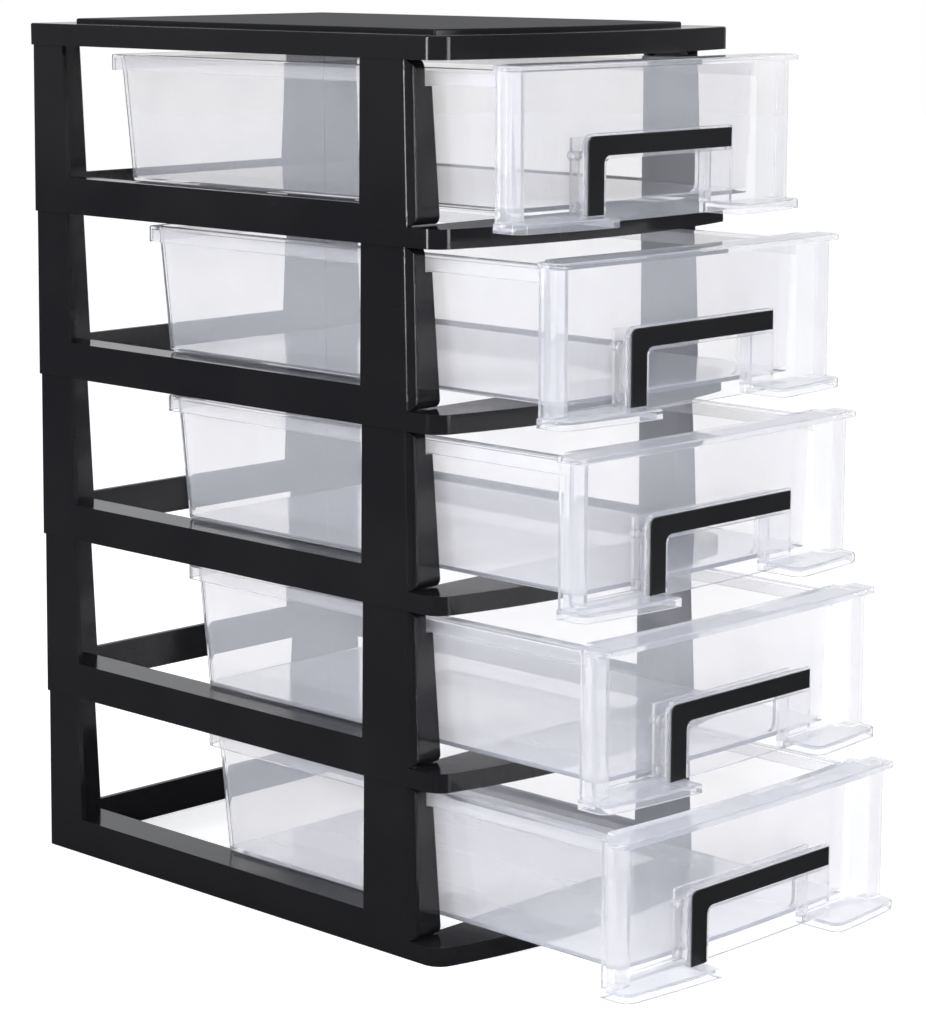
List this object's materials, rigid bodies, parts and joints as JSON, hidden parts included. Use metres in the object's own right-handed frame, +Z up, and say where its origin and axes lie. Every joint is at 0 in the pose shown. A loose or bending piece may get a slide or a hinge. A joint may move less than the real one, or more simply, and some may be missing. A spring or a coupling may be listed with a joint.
{
  "type": "drawer tower",
  "caption": "Free-standing tower of stacked open plastic frames under a flat cover, with clear sliding drawers that have clear handle hoods and dark angle inlays.",
  "frame": {"origin": "on the floor, at the middle of the tower's own footprint, whose front edge is the middle of the bowed front of the rings; the pulled-out drawers don't count", "axes": "+Z up, -Y towards the front, where the drawers pull out, +X to the right of a person facing the drawers"},
  "size_m": [0.18, 0.3625, 0.3815],
  "materials": {
    "black_plastic": "black injection-moulded polypropylene, satin to gloss",
    "clear_plastic": "clear natural polypropylene, slightly milky, glossy"
  },
  "bodies": {
    "tower": {"top_cover": "black_plastic", "tier_frame_1": "black_plastic", "tier_frame_2": "black_plastic", "tier_frame_3": "black_plastic", "tier_frame_4": "black_plastic", "tier_frame_5": "black_plastic"},
    "drawer_1_with_handle": {"drawer_1": "clear_plastic", "handle_hood_1": "clear_plastic", "handle_inlay_1": "black_plastic"},
    "drawer_2_with_handle": {"drawer_2": "clear_plastic", "handle_hood_2": "clear_plastic", "handle_inlay_2": "black_plastic"},
    "drawer_3_with_handle": {"drawer_3": "clear_plastic", "handle_hood_3": "clear_plastic", "handle_inlay_3": "black_plastic"},
    "drawer_4_with_handle": {"drawer_4": "clear_plastic", "handle_hood_4": "clear_plastic", "handle_inlay_4": "black_plastic"},
    "drawer_5_with_handle": {"drawer_5": "clear_plastic", "handle_hood_5": "clear_plastic", "handle_inlay_5": "black_plastic"}
  },
  "joints": [
    {"name": "drawer_1_slide", "type": "slide", "parent": "tower", "child": "drawer_1_with_handle", "axis": [0, -1, 0], "range_m": [-0.0357, 0.1293]},
    {"name": "drawer_2_slide", "type": "slide", "parent": "tower", "child": "drawer_2_with_handle", "axis": [0, -1, 0], "range_m": [-0.0592, 0.1058]},
    {"name": "drawer_3_slide", "type": "slide", "parent": "tower", "child": "drawer_3_with_handle", "axis": [0, -1, 0], "range_m": [-0.0702, 0.0948]},
    {"name": "drawer_4_slide", "type": "slide", "parent": "tower", "child": "drawer_4_with_handle", "axis": [0, -1, 0], "range_m": [-0.0822, 0.0828]},
    {"name": "drawer_5_slide", "type": "slide", "parent": "tower", "child": "drawer_5_with_handle", "axis": [0, -1, 0], "range_m": [-0.0942, 0.0708]}
  ]
}
